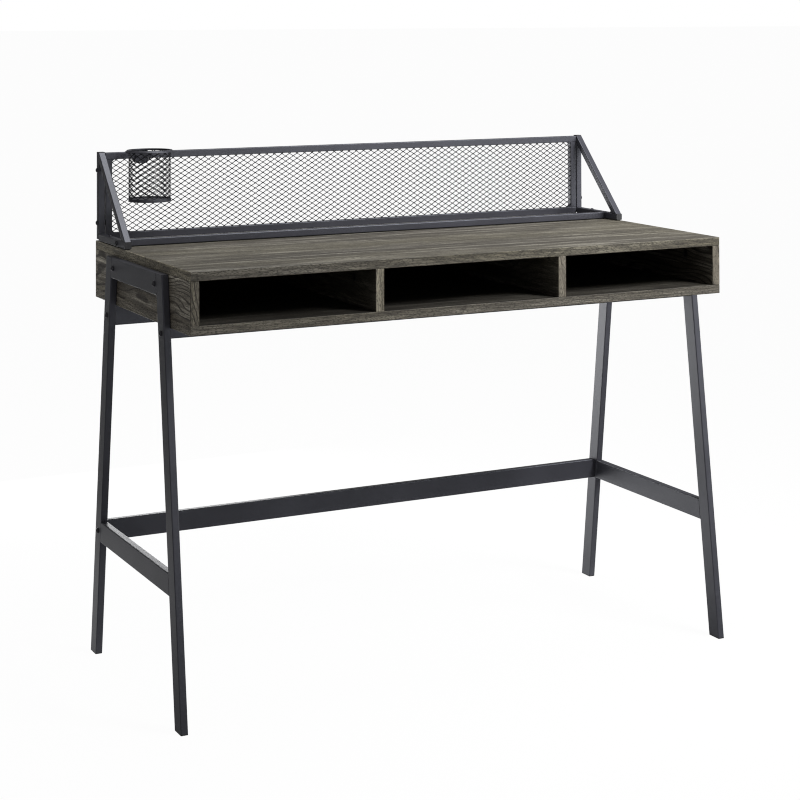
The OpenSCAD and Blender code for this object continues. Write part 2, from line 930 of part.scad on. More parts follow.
// Diamond openings in rows of nx by nz, one pitch apart, centred on the origin
module diamonds(nx, nz) {
  a = mesh_pitch_x / 2 - mesh_strand;
  b = a * mesh_pitch_z / mesh_pitch_x;
  for (i = [0:nx - 1], k = [0:nz - 1])
    translate([(i - (nx - 1) / 2) * mesh_pitch_x, (k - (nz - 1) / 2) * mesh_pitch_z])
      polygon([[-a, 0], [0, -b], [a, 0], [0, b]]);
}

// Sheet of expanded metal: two sets of diamonds, each in the other's gaps
module hutch_panel_mesh() {
  w = 2 * (panel_in_x + mesh_bite);
  h = panel_in_top_z - panel_in_z + 2 * mesh_bite;
  nx = floor(w / mesh_pitch_x);
  nz = floor(h / mesh_pitch_z);
  color(steel)
    translate([0, mesh_y + mesh_t, (panel_z + panel_top_z) / 2])
      rotate([90, 0, 0])
        linear_extrude(mesh_t)
          difference() {
            square([w, h], center = true);
            diamonds(nx, nz);
            diamonds(nx - 1, nz - 1);
          }
}

module hutch_panel_spacers() {
  color(plastic)
    for (side = [-1, 1], z = panel_bolt_zs)
      at_side(side)
        translate([0, panel_mid_y, z])
          difference() {
            x_bore(panel_x, panel_gap, spacer_r);
            x_bore(panel_x - 1, panel_gap + 2, small_hole_r);
          }
}

module hutch_panel_bolts() {
  color(plastic)
    for (side = [-1, 1], z = panel_bolt_zs)
      at_side(side)
        translate([half_w, panel_mid_y, z])
          rotate([0, 90, 0])
            bolt(small_bolt_r, panel_bolt_l, small_head_r, small_head_h);
}

module hutch_panel_rivet_nuts() {
  color(zinc)
    for (side = [-1, 1], z = panel_bolt_zs)
      at_side(side)
        translate([0, panel_mid_y, z])
          difference() {
            x_bore(panel_x - rivet_nut_l, rivet_nut_l, rivet_nut_r);
            x_bore(panel_x - rivet_nut_l - 1, rivet_nut_l + 2, small_thread_r);
          }
}

// ---------- pencil cup ----------

// Ring with a rectangular section, eased on its upper outer edge
module eased_ring(r_in, r_out, z0, h, ease) {
  translate([cup_x, cup_y, z0])
    rotate_extrude($fn = 96)
      polygon([[r_in, 0], [r_out, 0], [r_out, h - ease], [r_out - ease, h], [r_in, h]]);
}

module cup_hanger_ring() {
  color(steel)
    eased_ring(ring_in_r, hanger_r, ring_z, ring_t, 0.8);
}

// Strap over the panel's top rail: a tongue under the ring, and a leg on each side of the rail
module cup_hanger_strap() {
  tongue_y = cup_y + ring_in_r + 1;
  front_leg_y = panel_front_y - rail_clearance - strap_t;
  rear_leg_y = panel_back_y + rail_clearance;
  end_y = rear_leg_y + strap_t;
  end_z = strap_top_z - strap_drop;
  color(steel)
    intersection() {
      translate([cup_x - strap_w / 2, 0, 0])
        rotate([90, 0, 90])
          linear_extrude(strap_w)
            polygon([
              [tongue_y, strap_z], [front_leg_y, strap_z], [front_leg_y, end_z],
              [front_leg_y + strap_t, end_z], [front_leg_y + strap_t, strap_z],
              [rear_leg_y, strap_z], [rear_leg_y, end_z], [end_y, end_z],
              [end_y, strap_top_z], [tongue_y, strap_top_z]
            ]);
      translate([cup_x, end_y + 1, 0])
        rotate([90, 0, 0])
          linear_extrude(end_y - tongue_y + 2)
            polygon([
              [-strap_w / 2, strap_top_z + 1], [-strap_w / 2, end_z + strap_corner],
              [-strap_w / 2 + strap_corner, end_z - eps],
              [strap_w / 2 - strap_corner, end_z - eps],
              [strap_w / 2, end_z + strap_corner], [strap_w / 2, strap_top_z + 1]
            ]);
    }
}

// Plain tube that takes up the room of the mesh wall
module cup_wall() {
  color(steel)
    translate([cup_x, cup_y, cup_floor_z])
      difference() {
        cylinder(r = cup_r, h = cup_rim_z - cup_floor_z, $fn = 96);
        translate([0, 0, -1])
          cylinder(r = cup_r - cup_wall_t, h = cup_h, $fn = 96);
      }
}

module cup_rim() {
  color(steel)
    eased_ring(cup_rim_in_r, cup_rim_out_r, cup_rim_z, cup_rim_t, 0.7);
}

module cup_base_band() {
  color(steel)
    eased_ring(cup_r, cup_r + band_t, cup_z, cup_band_h, 0.3);
}

module cup_floor() {
  color(steel)
    translate([cup_x, cup_y, cup_floor_z])
      cylinder(r = cup_r - cup_wall_t, h = cup_floor_t, $fn = 96);
}

desk_top();
bottom_panel();
left_side_panel();
right_side_panel();
left_divider();
right_divider();
back_panel();
left_front_leg();
left_rear_leg();
left_top_rail();
left_side_stretcher();
right_front_leg();
right_rear_leg();
right_top_rail();
right_side_stretcher();
rear_stretcher();
rear_under_rail();
front_under_rail();
rail_end_plugs();
foot_glides();
top_rail_bolts();
under_rail_bolts();
stretcher_bolts();
threaded_inserts();
rail_screws();
cam_locks();
cam_studs();
dowels();
bottom_screws();
hutch_left_upright();
hutch_right_upright();
hutch_left_brace();
hutch_right_brace();
hutch_left_foot_rail();
hutch_right_foot_rail();
hutch_cross_rail();
hutch_cross_rail_plugs();
hutch_cross_rail_bolts();
hutch_end_caps();
hutch_foot_pads();
hutch_fixing_screws();
hutch_panel_top_rail();
hutch_panel_bottom_rail();
hutch_panel_left_stile();
hutch_panel_right_stile();
hutch_panel_mesh();
hutch_panel_spacers();
hutch_panel_bolts();
hutch_panel_rivet_nuts();
cup_hanger_ring();
cup_hanger_strap();
cup_wall();
cup_rim();
cup_base_band();
cup_floor();
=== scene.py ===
"""Writing desk with a mesh hutch and a hanging pencil cup.

The CAD frame gives the boards, tubes, bolts, caps and pads. This script adds what mesh work does best:
the expanded-metal panel, the rolled mesh wall of the cup and the bent hanger strap. Every piece gets a
node material at true scale. Lengths are in metres, in the CAD frame's own axes: +X is the sitter's right
hand, -Y is the front and +Z is up.
"""

import math

import bmesh
import bpy
import numpy as np
from mathutils import Matrix, Vector


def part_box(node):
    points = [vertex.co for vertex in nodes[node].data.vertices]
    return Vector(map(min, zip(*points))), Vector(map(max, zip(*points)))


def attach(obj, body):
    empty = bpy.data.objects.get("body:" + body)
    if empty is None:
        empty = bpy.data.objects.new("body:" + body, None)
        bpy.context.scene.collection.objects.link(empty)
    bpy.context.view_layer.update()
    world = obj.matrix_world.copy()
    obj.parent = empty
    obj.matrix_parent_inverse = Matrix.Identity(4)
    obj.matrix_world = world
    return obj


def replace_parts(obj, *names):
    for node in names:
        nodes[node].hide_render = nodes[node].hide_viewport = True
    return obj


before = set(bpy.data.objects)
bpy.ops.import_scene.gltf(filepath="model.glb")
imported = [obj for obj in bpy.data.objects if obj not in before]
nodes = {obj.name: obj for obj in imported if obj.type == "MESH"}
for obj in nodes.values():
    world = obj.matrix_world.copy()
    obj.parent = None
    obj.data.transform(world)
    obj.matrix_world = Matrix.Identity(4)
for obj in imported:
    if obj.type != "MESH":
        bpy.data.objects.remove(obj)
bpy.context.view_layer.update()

MM = 0.001
X, Y, Z = 0, 1, 2
DESK, HANGER, CUP = "desk", "cup_hanger", "pencil_cup"

# Expanded metal, for the panel and for the cup
MESH_PITCH_X = 16.2 * MM      # width of one diamond
MESH_PITCH_Z = 10.0 * MM      # height of one diamond
STRAND_W = 1.15 * MM          # width of a strand across its length
STRAND_BEVEL = 0.25 * MM      # worn edge of a strand
ACUTE_R = 0.8 * MM            # corner radius at a diamond's left and right ends
OBTUSE_R = 1.8 * MM           # corner radius at its top and bottom
CORNER_STEPS = 2              # points on each half of a rounded corner
CORNER_SHARE = 0.24           # share of a cell's edge that a rounded corner uses
WELD_TOLERANCE = 0.01 * MM    # points closer than this become one
CUT_TOLERANCE = 0.0001 * MM   # points this close to a cutting plane count as on it
CUP_WALL_T = 1.0 * MM         # thickness of the cup's rolled mesh

# Hanger strap
STRAP_T = 2.0 * MM            # thickness of the sheet it is bent from
STRAP_BEND_R = 2.8 * MM       # outer radius of its bends
STRAP_CORNER = 5.0 * MM       # radius of the corners at the ends of its legs
STRAP_EASE = 0.3 * MM         # eased edge all round
SHARP = math.radians(50)      # edges that turn more than this are eased
BEND_STEPS = 8                # straight pieces in a bend or a corner

# Laminate
FACING = 0.6                  # how squarely a face must look along an axis to count as facing it
BACK_SHIFT = 3.7              # distance in the pattern from a board's front to its back
END_SHIFT = 1.9               # and from its long faces to its ends
SWAY = 9 * MM                 # how far the grain wanders sideways
EDGE_LEAN = 0.12              # slope of the fine grain on a board's edges

# Studio
FLOOR_HALF = 150.0            # half the side of the floor
FLOOR_GLOW = 0.97             # how much of its own light the floor shows to the camera
FLOOR_DIM = 0.21              # how bright most of the floor is in reflections
POOL_PLACE = (0.15, 0.9)      # middle of the bright pool behind the desk
POOL_REACH = 1.3              # radius at which it has faded out
POOL_CORE = 0.3               # radius of its evenly bright core
POOL_GLOW = 1.7
FRONT_X = (1.0, 4.5)          # over this stretch the floor in front grows brighter in reflections,
FRONT_GLOW = (1.2, 4.6)       # from the first of these to the second
FRONT_Y = (-4.2, -0.6)        # and fades out over this one, towards the desk

# Colours
WHITE = (1.0, 1.0, 1.0, 1.0)
SLATE = (0.86, 0.89, 1.0, 1.0)   # tint of the powder coat's gloss


# ---------- node materials ----------

class Graph:
    """A material's node tree, with short calls for the nodes that this script uses."""

    def __init__(self, name):
        self.material = bpy.data.materials.new(name)
        self.material.use_nodes = True
        self.tree = self.material.node_tree
        self.shader = self.tree.nodes["Principled BSDF"]

    def node(self, kind, **settings):
        """A new shader node of this kind, with these settings."""
        made = self.tree.nodes.new("ShaderNode" + kind)
        for key, value in settings.items():
            setattr(made, key, value)
        return made

    def put(self, socket, value):
        """Feeds an input from another node's output, or sets it to a plain value."""
        if isinstance(value, bpy.types.NodeSocket):
            self.tree.links.new(value, socket)
        else:
            socket.default_value = value

    def calc(self, operation, a, b=0.0, c=0.0):
        """The result of one step of arithmetic."""
        made = self.node("Math", operation=operation)
        for socket, value in zip(made.inputs, (a, b, c)):
            self.put(socket, value)
        return made.outputs[0]

    def choose(self, share, a, b):
        """a where share is 0, b where it is 1, for plain numbers."""
        made = self.node("Mix", data_type="FLOAT")
        self.put(made.inputs[0], share)
        self.put(made.inputs[2], a)
        self.put(made.inputs[3], b)
        return made.outputs[0]

    def mix(self, share, a, b, blend="MIX"):
        """Colours a and b mixed by share."""
        made = self.node("Mix", data_type="RGBA", blend_type=blend)
        self.put(made.inputs[0], share)
        self.put(made.inputs[6], a)
        self.put(made.inputs[7], b)
        return made.outputs[2]

    def vector(self, x, y, z):
        """A vector, or a colour, from three numbers."""
        made = self.node("CombineXYZ")
        for socket, value in zip(made.inputs, (x, y, z)):
            self.put(socket, value)
        return made.outputs[0]

    def split(self, vector):
        """The three numbers of a vector."""
        made = self.node("SeparateXYZ")
        self.put(made.inputs[0], vector)
        return made.outputs

    def place(self):
        """Position in the CAD frame, in metres."""
        return self.node("TexCoord").outputs["Object"]

    def noise(self, vector, scale=1.0, detail=2.0, roughness=0.5, distortion=0.0):
        """Smooth noise with about scale waves to a metre. Most of it lies between 0.3 and 0.7."""
        made = self.node("TexNoise")
        self.put(made.inputs["Vector"], vector)
        self.put(made.inputs["Scale"], scale)
        self.put(made.inputs["Detail"], detail)
        self.put(made.inputs["Roughness"], roughness)
        self.put(made.inputs["Distortion"], distortion)
        return made.outputs["Fac"]

    def ramp(self, value, low, high, to_low=0.0, to_high=1.0):
        """value mapped smoothly from low..high to to_low..to_high, and held outside."""
        made = self.node("MapRange", interpolation_type="SMOOTHSTEP")
        for socket, number in zip(made.inputs, (value, low, high, to_low, to_high)):
            self.put(socket, number)
        return made.outputs[0]

    def bump(self, height, distance, strength=1.0, under=None):
        """The surface's normal with a relief of this height, laid over an earlier relief if there is one."""
        made = self.node("Bump")
        self.put(made.inputs["Strength"], strength)
        self.put(made.inputs["Distance"], distance)
        self.put(made.inputs["Height"], height)
        if under is not None:
            self.put(made.inputs["Normal"], under)
        return made.outputs[0]

    def finish(self, colour, roughness, normal, metallic=0.0, specular=0.5, gloss_tint=WHITE):
        """Fills in the main shader and gives the material back."""
        self.put(self.shader.inputs["Base Color"], colour)
        self.put(self.shader.inputs["Roughness"], roughness)
        self.put(self.shader.inputs["Normal"], normal)
        self.put(self.shader.inputs["Metallic"], metallic)
        self.put(self.shader.inputs["Specular IOR Level"], specular)
        self.put(self.shader.inputs["Specular Tint"], gloss_tint)
        return self.material


def rgb(red, green, blue):
    """A colour given as it looks on a screen, from 0 to 255, as the linear colour that shaders use."""
    def linear(value):
        share = value / 255
        return share / 12.92 if share <= 0.04045 else ((share + 0.055) / 1.055) ** 2.4
    return (linear(red), linear(green), linear(blue), 1.0)


def grain_coordinates(graph, grain, across, flat, seed):
    """Coordinates along and across the grain, the layer of the print, and which faces are edges and ends.

    A board's edges carry a band whose grain runs along the edge."""
    place = graph.split(graph.place())
    normal = graph.split(graph.node("NewGeometry").outputs["True Normal"])
    on_end = graph.calc("GREATER_THAN", graph.calc("ABSOLUTE", normal[grain]), FACING)
    on_side = graph.calc("GREATER_THAN", graph.calc("ABSOLUTE", normal[across]), FACING)
    on_edge = graph.calc("MAXIMUM", on_end, on_side)
    along = graph.choose(on_end, place[grain], place[across])
    over = graph.choose(on_edge, place[across], place[flat])
    back_face = graph.calc("LESS_THAN", normal[flat], 0.0)
    layer = graph.calc("MULTIPLY_ADD", back_face, BACK_SHIFT, seed)
    layer = graph.calc("MULTIPLY_ADD", on_end, END_SHIFT, layer)
    return along, over, layer, on_edge, on_end


def laminate(name, grain, across, flat, seed, painted_face_light, painted_edge_light, painted_end_light, figure):
    """Printed grey-brown oak laminate: tonal bands, cathedral figure, grain lines and short dark pores.

    Each layer of the print is made of streaks, and darkens or lightens what lies under it."""
    graph = Graph(name)
    along, over, layer, on_edge, on_end = grain_coordinates(graph, grain, across, flat, seed)

    def streaks(along_scale, over_scale, detail=2.0, roughness=0.5, shift=None):
        """Noise with so many waves to a metre along and across the grain. shift stands in for across."""
        u = graph.calc("MULTIPLY", along, along_scale)
        v = graph.calc("MULTIPLY", over if shift is None else shift, over_scale)
        return graph.noise(graph.vector(u, v, layer), 1.0, detail, roughness)

    sway = graph.calc("MULTIPLY_ADD", streaks(7.0, 22.0), SWAY, over)
    lean = graph.calc("MULTIPLY_ADD", graph.calc("MULTIPLY", along, on_edge), EDGE_LEAN, sway)
    bands = streaks(1.4, 15.0, 3.0, 0.6)
    patches = streaks(5.0, 60.0, 3.0)
    spread = graph.calc("MULTIPLY", sway, 85.0)
    field = graph.calc("MULTIPLY_ADD", streaks(4.0, 12.0, 1.5, 0.4), 16.0, spread)
    rings = graph.ramp(graph.calc("PINGPONG", field, 0.5), 0.03, 0.24)
    lines = graph.ramp(streaks(9.0, 300.0, 3.0, 0.6, sway), 0.36, 0.64)
    threads = graph.ramp(streaks(26.0, 620.0, 2.0, 0.6, lean), 0.38, 0.62)
    pores = graph.ramp(streaks(210.0, 640.0, 1.0, 0.5, lean), 0.50, 0.62)

    dark, middle, light, olive = rgb(60, 56, 49), rgb(99, 95, 86), rgb(140, 136, 126), rgb(108, 103, 84)
    ring_ink, line_ink, thread_ink = rgb(28, 25, 22), rgb(46, 42, 36), rgb(32, 29, 25)
    pore_ink = rgb(24, 22, 18)
    base = graph.mix(graph.ramp(bands, 0.34, 0.66), dark, middle)
    patch_share = graph.ramp(patches, 0.44, 0.72, 0.0, graph.choose(on_edge, 0.8, 0.35))
    base = graph.mix(patch_share, base, light)
    base = graph.mix(graph.ramp(streaks(1.1, 6.0), 0.42, 0.62, 0.0, 0.35), base, olive)
    base = graph.mix(graph.ramp(rings, 0.0, 1.0, figure, 0.0), base, ring_ink)
    base = graph.mix(graph.ramp(lines, 0.0, 1.0, 0.60, 0.0), base, line_ink)
    base = graph.mix(graph.ramp(threads, 0.0, 1.0, 0.44, 0.0), base, thread_ink)
    pore_share = graph.choose(on_edge, 0.40, 0.62)
    base = graph.mix(graph.calc("MULTIPLY", pores, pore_share), base, pore_ink)
    # painted light and shade: the print is lightened or darkened by a set factor on the large faces, the
    # long edges and the ends, as the light falls on each
    level = graph.choose(on_end, graph.choose(on_edge, painted_face_light, painted_edge_light), painted_end_light)
    shade = graph.mix(1.0, base, graph.vector(level, level, level), "MULTIPLY")

    height = graph.calc("MULTIPLY_ADD", pores, -0.6, graph.calc("MULTIPLY", threads, 0.4))
    normal = graph.bump(height, 0.06 * MM, 0.5)
    roughness = graph.calc("MULTIPLY_ADD", pores, 0.12, graph.ramp(lines, 0.0, 1.0, 0.50, 0.60))
    return graph.finish(shade, roughness, normal, specular=0.3)


def powder_coat(name, colour, roughness, specular):
    """Fine-textured charcoal powder coat over steel. Its gloss leans towards slate blue."""
    graph = Graph(name)
    place = graph.place()
    cloud = graph.noise(place, 9.0, 2.0)
    grit = graph.noise(place, 1500.0, 2.0, 0.6)
    peel = graph.noise(place, 420.0, 1.0)
    speck = graph.ramp(graph.noise(place, 2600.0, 1.0), 0.66, 0.76)
    lighter = graph.mix(1.0, colour, (1.35, 1.35, 1.35, 1.0), "MULTIPLY")
    tint = graph.mix(graph.ramp(cloud, 0.3, 0.7), colour, lighter)
    tint = graph.mix(graph.calc("MULTIPLY", speck, 0.25), tint, rgb(96, 96, 102))
    normal = graph.bump(peel, 0.05 * MM, 0.35)
    normal = graph.bump(grit, 0.03 * MM, 0.45, normal)
    rough = graph.ramp(grit, 0.3, 0.7, roughness - 0.06, roughness + 0.06)
    return graph.finish(tint, rough, normal, specular=specular, gloss_tint=SLATE)


def black_bolt():
    """Black-oxide steel: dark, slightly metallic, with turning marks and small scuffs."""
    graph = Graph("black_oxide_bolt")
    place = graph.place()
    scuff = graph.ramp(graph.noise(place, 620.0, 3.0, 0.65), 0.55, 0.72)
    tint = graph.mix(scuff, rgb(58, 58, 62), rgb(104, 104, 108))
    normal = graph.bump(graph.noise(place, 2400.0, 2.0), 0.02 * MM, 0.4)
    return graph.finish(tint, graph.ramp(scuff, 0.0, 1.0, 0.36, 0.28), normal, metallic=0.75)


def moulded_plastic():
    """Black moulded plastic with a fine spark-eroded grain."""
    graph = Graph("black_moulded_plastic")
    place = graph.place()
    grain = graph.noise(place, 2200.0, 3.0, 0.6)
    tint = graph.mix(graph.noise(place, 60.0, 2.0), rgb(28, 28, 30), rgb(42, 42, 45))
    rough = graph.ramp(grain, 0.3, 0.7, 0.44, 0.6)
    return graph.finish(tint, rough, graph.bump(grain, 0.03 * MM, 0.5))


def zinc_plate():
    """Bright zinc plating with faint blue and yellow patches."""
    graph = Graph("zinc_plate")
    place = graph.place()
    patch = graph.noise(place, 160.0, 3.0, 0.6, 0.4)
    tint = graph.mix(patch, rgb(176, 180, 186), rgb(198, 193, 174))
    lines = graph.noise(place, 1800.0, 2.0)
    rough = graph.ramp(patch, 0.3, 0.7, 0.24, 0.4)
    return graph.finish(tint, rough, graph.bump(lines, 0.02 * MM, 0.4), metallic=1.0)


def beech():
    """Beech dowel with vertical fibres and small flecks."""
    graph = Graph("beech_dowel")
    place = graph.split(graph.place())
    fineness = (1400.0, 1400.0, 60.0)
    stretched = [graph.calc("MULTIPLY", axis, scale) for axis, scale in zip(place, fineness)]
    fibre = graph.noise(graph.vector(*stretched), 1.0, 3.0, 0.6)
    tint = graph.mix(graph.ramp(fibre, 0.3, 0.7), rgb(176, 134, 92), rgb(216, 182, 138))
    return graph.finish(tint, 0.62, graph.bump(fibre, 0.05 * MM, 0.5))


def studio_floor():
    """Pale matt floor, set up by kind of ray.

    The camera sees it nearly white, as on a lit sweep. Light bounces off it as off matt white paint.
    In reflections it is bright in a pool behind the desk and far out in front, and dim elsewhere."""
    graph = Graph("studio_floor")
    place = graph.place()
    mottle = graph.noise(place, 3.0, 2.0)
    tint = graph.mix(mottle, rgb(224, 224, 224), rgb(230, 230, 229))
    graph.finish(tint, 0.9, graph.bump(mottle, 0.1 * MM, 0.1), specular=0.1)

    x, y, _ = graph.split(place)
    away_x = graph.calc("SUBTRACT", x, POOL_PLACE[0])
    away_y = graph.calc("SUBTRACT", y, POOL_PLACE[1])
    squares = graph.calc("MULTIPLY_ADD", away_x, away_x, graph.calc("MULTIPLY", away_y, away_y))
    pool = graph.ramp(graph.calc("SQRT", squares), POOL_CORE, POOL_REACH, POOL_GLOW, FLOOR_DIM)
    fade = graph.ramp(y, *FRONT_Y, 1.0, 0.0)
    front = graph.calc("MULTIPLY", fade, graph.ramp(x, *FRONT_X, *FRONT_GLOW))
    mirrored = graph.node("Emission")
    graph.put(mirrored.inputs["Strength"], graph.calc("MAXIMUM", pool, front))
    seen = graph.node("Emission")

    path = graph.node("LightPath").outputs
    under = blended(graph, path["Is Glossy Ray"], graph.shader.outputs[0], mirrored.outputs[0])
    glow = graph.calc("MULTIPLY", path["Is Camera Ray"], FLOOR_GLOW)
    over = blended(graph, glow, under, seen.outputs[0])
    graph.tree.links.new(over, graph.tree.nodes["Material Output"].inputs["Surface"])
    return graph.material


def blended(graph, share, first, second):
    """Two shaders mixed by share."""
    made = graph.node("MixShader")
    graph.put(made.inputs[0], share)
    graph.tree.links.new(first, made.inputs[1])
    graph.tree.links.new(second, made.inputs[2])
    return made.outputs[0]


# ---------- mesh work ----------

def mesh_object(name, vertices, faces):
    """A new object from points and faces, linked to the scene."""
    mesh = bpy.data.meshes.new(name)
    mesh.from_pydata([tuple(p) for p in vertices], [], [tuple(f) for f in faces])
    mesh.validate()
    made = bpy.data.objects.new(name, mesh)
    bpy.context.scene.collection.objects.link(made)
    return made


def diamond_ring(pitch_x, pitch_z):
    """Points round one diamond opening, and the matching points round the cell that holds it.

    The cells are rhombi that fill the sheet, so a cell's edge carries points that mirror about its
    middle, and neighbours share them."""
    slope = math.atan2(pitch_z, pitch_x)
    half_x = pitch_x / 2 - STRAND_W / 2 / math.sin(slope)
    half_z = pitch_z / 2 - STRAND_W / 2 / math.cos(slope)
    turn = math.pi / 2 - slope
    acute = (half_x - ACUTE_R / math.sin(slope), ACUTE_R, turn)
    obtuse = (half_z - OBTUSE_R / math.cos(slope), OBTUSE_R, slope)
    opening, cell = [], []
    for quarter in range(4):
        along_x = quarter % 2 == 0
        reach, radius, half_turn = acute if along_x else obtuse
        facing = quarter * math.pi / 2
        centre = Vector((math.cos(facing), math.sin(facing))) * reach
        for step in range(-CORNER_STEPS, CORNER_STEPS + 1):
            angle = facing + half_turn * step / CORNER_STEPS
            opening.append(centre + radius * Vector((math.cos(angle), math.sin(angle))))
            here = corner_of_cell(quarter, pitch_x, pitch_z)
            other = corner_of_cell(quarter + (1 if step > 0 else -1), pitch_x, pitch_z)
            share = CORNER_SHARE * abs(step) / CORNER_STEPS
            cell.append(here.lerp(other, share))
    return opening, cell


def corner_of_cell(quarter, pitch_x, pitch_z):
    """Corner of a rhombic cell: 0 is right, 1 top, 2 left and 3 bottom."""
    facing = quarter * math.pi / 2
    return Vector((math.cos(facing) * pitch_x / 2, math.sin(facing) * pitch_z / 2))


def expanded_metal(columns, rows, pitch_x, pitch_z, thickness):
    """Points (along, depth, up) and faces of a sheet of expanded metal, centred on the origin.

    Each cell has rings of points: the cell's edge and the eased opening, in front and behind."""
    opening, cell = diamond_ring(pitch_x, pitch_z)
    count = len(opening)
    eased = [p + p.normalized() * STRAND_BEVEL for p in opening]
    half = thickness / 2
    inner = half - STRAND_BEVEL
    loops = [
        (cell, -half), (eased, -half), (opening, -inner),
        (opening, inner), (eased, half), (cell, half),
    ]
    unit = np.array([(p[0], depth, p[1]) for points, depth in loops for p in points])
    quads = []
    for loop in range(len(loops) - 1):
        near, far = loop * count, (loop + 1) * count
        for i in range(count):
            j = (i + 1) % count
            quads.append((near + i, near + j, far + j, far + i))
    centres = []
    for column in range(columns):
        for row in range(rows):
            centres.append((column * pitch_x, 0.0, row * pitch_z))
            centres.append(((column + 0.5) * pitch_x, 0.0, (row + 0.5) * pitch_z))
    centres = np.array(centres)
    centres -= centres.mean(axis=0)
    points = (centres[:, None, :] + unit[None, :, :]).reshape(-1, 3)
    firsts = np.arange(len(centres)) * len(unit)
    faces = (firsts[:, None, None] + np.array(quads)[None, :, :]).reshape(-1, 4)
    return points, faces


def weld(points, faces):
    """Merges points that lie together, and drops the ones left over."""
    keys = np.round(points / WELD_TOLERANCE).astype(np.int64)
    _, first, index = np.unique(keys, axis=0, return_index=True, return_inverse=True)
    return points[first], index.reshape(-1)[faces]


def trim(made, planes):
    """Cuts a mesh at planes, given as (point, outward normal), and closes the cuts."""
    work = bmesh.new()
    work.from_mesh(made.data)
    for point, normal in planes:
        geometry = work.verts[:] + work.edges[:] + work.faces[:]
        cut = bmesh.ops.bisect_plane(
            work, geom=geometry, dist=CUT_TOLERANCE,
            plane_co=point, plane_no=normal, clear_outer=True,
        )
        edges = [e for e in cut["geom_cut"] if isinstance(e, bmesh.types.BMEdge)]
        if edges:
            bmesh.ops.edgenet_fill(work, edges=edges)
    bmesh.ops.recalc_face_normals(work, faces=work.faces[:])
    work.to_mesh(made.data)
    work.free()


def panel_mesh():
    """Flattened expanded metal in the groove of the hutch's panel frame."""
    low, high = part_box("hutch_panel_mesh")
    size = high - low
    columns = math.ceil(size.x / MESH_PITCH_X) + 2
    rows = math.ceil(size.z / MESH_PITCH_Z) + 2
    points, faces = expanded_metal(columns, rows, MESH_PITCH_X, MESH_PITCH_Z, size.y)
    points, faces = weld(points + np.array((low + high) / 2), faces)
    made = mesh_object("hutch_expanded_mesh", points, faces)
    trim(made, [
        (low, (-1, 0, 0)), (high, (1, 0, 0)),
        (low, (0, 0, -1)), (high, (0, 0, 1)),
    ])
    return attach(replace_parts(made, "hutch_panel_mesh"), DESK)


def cup_mesh():
    """The same expanded metal, rolled into the cup's wall."""
    low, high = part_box("cup_wall")
    middle = (low + high) / 2
    outer_r = (high.x - low.x) / 2
    mid_r = outer_r - CUP_WALL_T / 2
    columns = round(2 * math.pi * mid_r / MESH_PITCH_X)
    pitch = 2 * math.pi * mid_r / columns
    rows = math.ceil((high.z - low.z) / MESH_PITCH_Z) + 2
    points, faces = expanded_metal(columns, rows, pitch, MESH_PITCH_Z, CUP_WALL_T)
    angle = points[:, 0] / mid_r - math.pi / 2
    radius = mid_r - points[:, 1]
    rolled = np.stack([
        middle.x + radius * np.cos(angle),
        middle.y + radius * np.sin(angle),
        middle.z + points[:, 2],
    ], axis=1)
    rolled, faces = weld(rolled, faces)
    made = mesh_object("cup_expanded_mesh", rolled, faces)
    trim(made, [(low, (0, 0, -1)), (high, (0, 0, 1))])
    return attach(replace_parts(made, "cup_wall"), CUP)


def arc(centre, radius, start, end):
    """Points on an arc, from start to end in degrees."""
    points = []
    for step in range(BEND_STEPS + 1):
        angle = math.radians(start + (end - start) * step / BEND_STEPS)
        points.append(centre + radius * Vector((math.cos(angle), math.sin(angle))))
    return points


def rounded_end(tip, inward, half_width):
    """Rows (place, half width) that bring a strap to its end at tip, with rounded corners."""
    rows = []
    for step in range(BEND_STEPS + 1):
        angle = math.pi / 2 * (1 - step / BEND_STEPS)
        back = STRAP_CORNER * (1 - math.cos(angle))
        rows.append((tip + inward * back, half_width - STRAP_CORNER * (1 - math.sin(angle))))
    return rows


def ribbon(rows, middle_x, first=0):
    """Points and faces of a sheet through rows of (place in y and z, half width).

    first is the number of its first point."""
    points = [(middle_x + side * half, *place) for place, half in rows for side in (-1, 1)]
    starts = range(first, first + 2 * (len(rows) - 1), 2)
    return points, [(a, a + 1, a + 3, a + 2) for a in starts]


def hanger_strap():
    """Steel strap of the cup's hanger, bent from sheet.

    A tongue runs from under the ring over the panel's top rail and bends down behind it. A tab welded
    under the tongue goes down in front of the rail."""
    low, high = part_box("cup_hanger_strap")
    rail_low, rail_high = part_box("hutch_panel_top_rail")
    middle_x, half = (low.x + high.x) / 2, (high.x - low.x) / 2
    skin = STRAP_T / 2
    rear_y = high.y - skin
    clearance = high.y - STRAP_T - rail_high.y
    front_y = rail_low.y - clearance - skin
    back, up = Vector((1, 0)), Vector((0, 1))
    tongue = rounded_end(Vector((low.y, high.z - skin)), back, half)
    bend = arc(Vector((high.y - STRAP_BEND_R, high.z - STRAP_BEND_R)), STRAP_BEND_R - skin, 90, 0)
    hook = rounded_end(Vector((rear_y, low.z)), up, half)
    tab = [(Vector((front_y, high.z - STRAP_T)), half)]
    tab += rounded_end(Vector((front_y, low.z)), up, half)
    points, faces = ribbon(tongue[::-1] + [(place, half) for place in bend] + hook, middle_x)
    tab_points, tab_faces = ribbon(tab, middle_x, len(points))
    made = mesh_object("hanger_bent_strap", points + tab_points, faces + tab_faces)
    sheet = made.modifiers.new("sheet", "SOLIDIFY")
    sheet.thickness, sheet.offset = STRAP_T, 0.0
    ease = made.modifiers.new("ease", "BEVEL")
    ease.width, ease.segments, ease.angle_limit = STRAP_EASE, 2, SHARP
    made.modifiers.new("normals", "WEIGHTED_NORMAL")
    for face in made.data.polygons:
        face.use_smooth = True
    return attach(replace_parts(made, "cup_hanger_strap"), HANGER)
